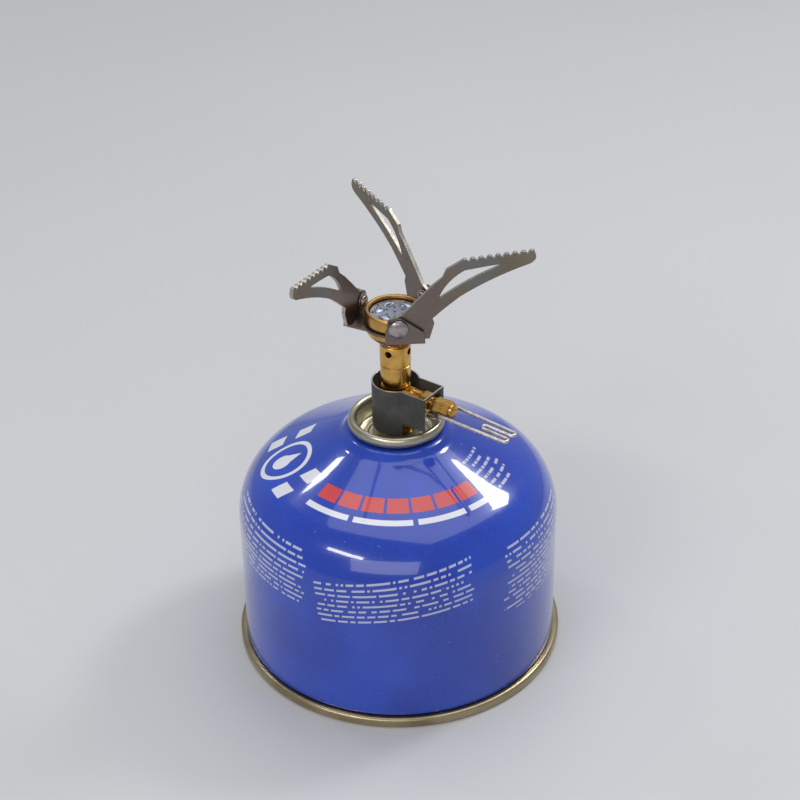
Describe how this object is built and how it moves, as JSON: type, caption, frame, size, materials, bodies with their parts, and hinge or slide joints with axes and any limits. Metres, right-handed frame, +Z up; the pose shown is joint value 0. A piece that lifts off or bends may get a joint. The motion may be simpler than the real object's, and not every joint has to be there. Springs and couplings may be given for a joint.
{
  "type": "camping stove",
  "caption": "Folding gas burner with toothed swing-up pot supports, screwed onto a domed screw-valve gas canister, with a needle valve turned by a wire handle.",
  "frame": {"origin": "centre of the canister's foot ring, on the surface it stands on", "axes": "+Z up along the canister and burner axis; +X roughly along the first pot support; the control valve points to azimuth -36.5 degrees"},
  "size_m": [0.11, 0.11, 0.1504],
  "materials": {
    "lacquer": "gloss lacquer",
    "tinplate": "lacquered tinplate",
    "cup": "semi-bright",
    "brass": "turned",
    "steel": "satin",
    "tinted_steel": "heat tinted",
    "dark_steel": "satin",
    "rubber": "matt",
    "bronze": "sintered"
  },
  "bodies": {
    "canister": {"canister_shell": "lacquer", "canister_base": "tinplate", "base_seam": "tinplate", "valve_cup": "cup", "canister_valve_body": "brass", "canister_valve_gasket": "rubber", "canister_valve_spring": "steel", "canister_valve_housing": "tinplate"},
    "valve_plunger": {"canister_valve_stem": "brass"},
    "seal_carrier": {"socket_seal": "rubber"},
    "stove": {"screw_socket": "brass", "depressor_pin": "brass", "gas_filter": "bronze", "valve_block": "brass", "spindle_seal": "rubber", "gland_nut": "brass", "spindle_clip": "steel", "gas_jet": "brass", "valve_shroud": "dark_steel", "jet_tube": "brass", "mixing_tube": "brass", "burner_cup": "brass", "burner_rim": "brass", "burner_plate": "steel", "burner_gauze": "bronze", "support_bracket": "tinted_steel", "pivot_rivet_1": "steel", "pivot_rivet_2": "steel", "pivot_rivet_3": "steel", "pivot_washer_1": "steel", "pivot_washer_2": "steel", "pivot_washer_3": "steel"},
    "spindle": {"valve_spindle": "brass"},
    "control": {"control_knob": "brass"},
    "handle": {"wire_handle": "steel"},
    "support_1": {"pot_support_1": "tinted_steel"},
    "support_2": {"pot_support_2": "tinted_steel"},
    "support_3": {"pot_support_3": "tinted_steel"}
  },
  "joints": [
    {"name": "valve_plunger_press", "type": "slide", "parent": "canister", "child": "valve_plunger", "axis": [0, 0, 1], "range_m": [-0.0008, 0], "stiffness_N_per_m": 300, "springref_m": 0.002, "deforming": ["canister_valve_spring"]},
    {"name": "stove_lift", "type": "slide", "parent": "canister", "child": "seal_carrier", "axis": [0, 0, 1], "range_m": [0, 0.00454]},
    {"name": "stove_unscrew", "type": "hinge", "parent": "seal_carrier", "child": "stove", "pos_m": [0, 0, 0.0871], "axis": [0, 0, 1], "range_deg": [0, 1800]},
    {"name": "spindle_travel", "type": "slide", "parent": "stove", "child": "spindle", "axis": [0.8039, -0.5948, 0], "range_m": [-0.00088, 0.00017]},
    {"name": "control_turn", "type": "hinge", "parent": "spindle", "child": "control", "pos_m": [0.01535, -0.01136, 0.095], "axis": [0.8039, -0.5948, 0], "range_deg": [-450, 90]},
    {"name": "handle_fold", "type": "hinge", "parent": "control", "child": "handle", "pos_m": [0.01535, -0.01136, 0.0942], "axis": [-0.5948, -0.8039, 0], "range_deg": [-45, 90]},
    {"name": "pot_support_1_fold", "type": "hinge", "parent": "stove", "child": "support_1", "pos_m": [0.00097, -0.01197, 0.1255], "axis": [0.048, -0.9988, 0], "range_deg": [0, 80]},
    {"name": "pot_support_2_fold", "type": "hinge", "parent": "stove", "child": "support_2", "pos_m": [0.00988, 0.00683, 0.1255], "axis": [0.841, 0.541, 0], "range_deg": [0, 80]},
    {"name": "pot_support_3_fold", "type": "hinge", "parent": "stove", "child": "support_3", "pos_m": [-0.01085, 0.00514, 0.1255], "axis": [-0.889, 0.4579, 0], "range_deg": [0, 80]}
  ],
  "couplings": [
    {"joint": "stove_lift", "follows": "stove_unscrew", "m_per_rad": 0.00014435},
    {"joint": "control_turn", "follows": "spindle_travel", "rad_per_m": 8976}
  ]
}
